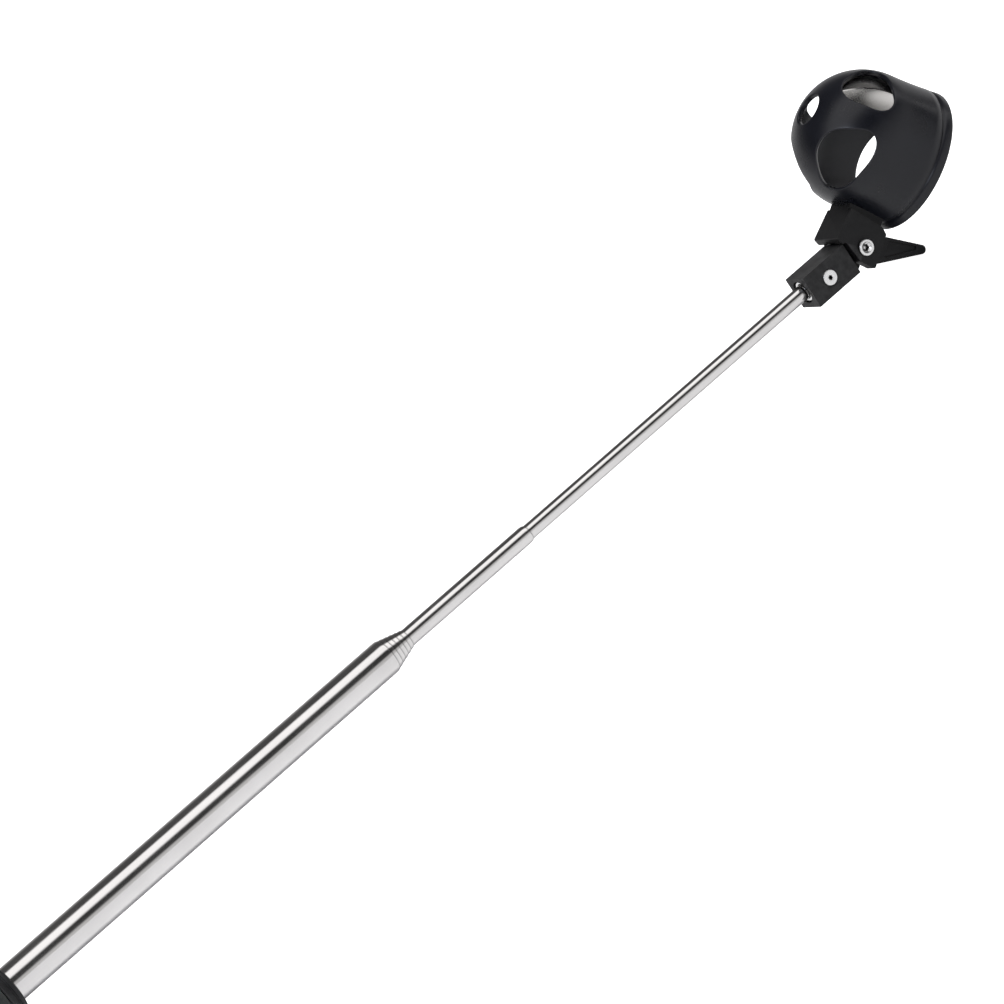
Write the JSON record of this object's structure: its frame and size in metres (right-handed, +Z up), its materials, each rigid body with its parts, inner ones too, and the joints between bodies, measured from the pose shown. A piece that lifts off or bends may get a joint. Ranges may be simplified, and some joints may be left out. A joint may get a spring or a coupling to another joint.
{
  "type": "telescopic ball retriever",
  "caption": "Telescopic steel pole with a rubber grip and a folding dome-shaped scoop cup that picks up and holds a small ball.",
  "frame": {"origin": "centre of the grip's flat butt face, on the pole's axis", "axes": "+X along the pole towards the scoop, +Z up in the plane in which the head folds"},
  "size_m": [0.6037, 0.0522, 0.0729],
  "materials": {
    "polished_tube": "polished stainless steel",
    "bush_nylon": "natural nylon",
    "grip_rubber": "pebbled black rubber",
    "grip_trim": "satin black plastic",
    "hinge_plastic": "fine textured black plastic",
    "lever_plastic": "fine textured black plastic",
    "scoop_plastic": "satin gloss black plastic",
    "fastener": "bright zinc plated steel",
    "spring_steel": "polished spring steel"
  },
  "bodies": {
    "handle": {"tube_section_1": "polished_tube", "butt_plug": "bush_nylon", "grip_butt_cap": "grip_trim", "grip_sleeve": "grip_rubber", "grip_front_collar": "grip_trim"},
    "section_2": {"tube_section_2": "polished_tube", "section_bush_2": "bush_nylon"},
    "section_3": {"tube_section_3": "polished_tube", "section_bush_3": "bush_nylon"},
    "section_4": {"tube_section_4": "polished_tube", "section_bush_4": "bush_nylon"},
    "section_5": {"tube_section_5": "polished_tube", "section_bush_5": "bush_nylon"},
    "section_6": {"tube_section_6": "polished_tube", "section_bush_6": "bush_nylon"},
    "section_7": {"tube_section_7": "polished_tube", "section_bush_7": "bush_nylon"},
    "section_8": {"tube_section_8": "polished_tube", "section_bush_8": "bush_nylon", "tube_end_insert": "fastener", "tube_ferrule": "fastener", "hinge_block": "hinge_plastic", "block_screw": "fastener", "block_nut": "fastener"},
    "scoop": {"scoop_cup": "scoop_plastic", "pivot_screw": "fastener", "pivot_nut": "fastener", "lever_pin": "fastener", "lever_spring": "spring_steel", "leaf_rivet_left": "fastener", "leaf_rivet_right": "fastener"},
    "lever": {"release_lever": "lever_plastic"},
    "leaf": {"retaining_leaf": "spring_steel"}
  },
  "joints": [
    {"name": "section_2_slide", "type": "slide", "parent": "handle", "child": "section_2", "axis": [1, 0, 0], "range_m": [0, 0.23]},
    {"name": "section_3_slide", "type": "slide", "parent": "section_2", "child": "section_3", "axis": [1, 0, 0], "range_m": [0, 0.23]},
    {"name": "section_4_slide", "type": "slide", "parent": "section_3", "child": "section_4", "axis": [1, 0, 0], "range_m": [0, 0.23]},
    {"name": "section_5_slide", "type": "slide", "parent": "section_4", "child": "section_5", "axis": [1, 0, 0], "range_m": [0, 0.23]},
    {"name": "section_6_slide", "type": "slide", "parent": "section_5", "child": "section_6", "axis": [1, 0, 0], "range_m": [0, 0.23]},
    {"name": "section_7_slide", "type": "slide", "parent": "section_6", "child": "section_7", "axis": [1, 0, 0], "range_m": [-0.0565, 0.175]},
    {"name": "section_8_slide", "type": "slide", "parent": "section_7", "child": "section_8", "axis": [1, 0, 0], "range_m": [-0.138, 0.09]},
    {"name": "head_fold", "type": "hinge", "parent": "section_8", "child": "scoop", "pos_m": [0.5433, 0, 0], "axis": [0, 1, 0], "range_deg": [0, 33]},
    {"name": "lever_press", "type": "hinge", "parent": "scoop", "child": "lever", "pos_m": [0.5495, 0, -0.0014], "axis": [0, -1, 0], "range_deg": [0, 8], "stiffness_Nm_per_rad": 0.05, "springref_deg": -11.46},
    {"name": "leaf_flex", "type": "hinge", "parent": "scoop", "child": "leaf", "pos_m": [0.57302, 0, 0.05132], "axis": [0, -1, 0], "range_deg": [0, 3], "stiffness_Nm_per_rad": 0.4, "springref_deg": -2.86}
  ]
}
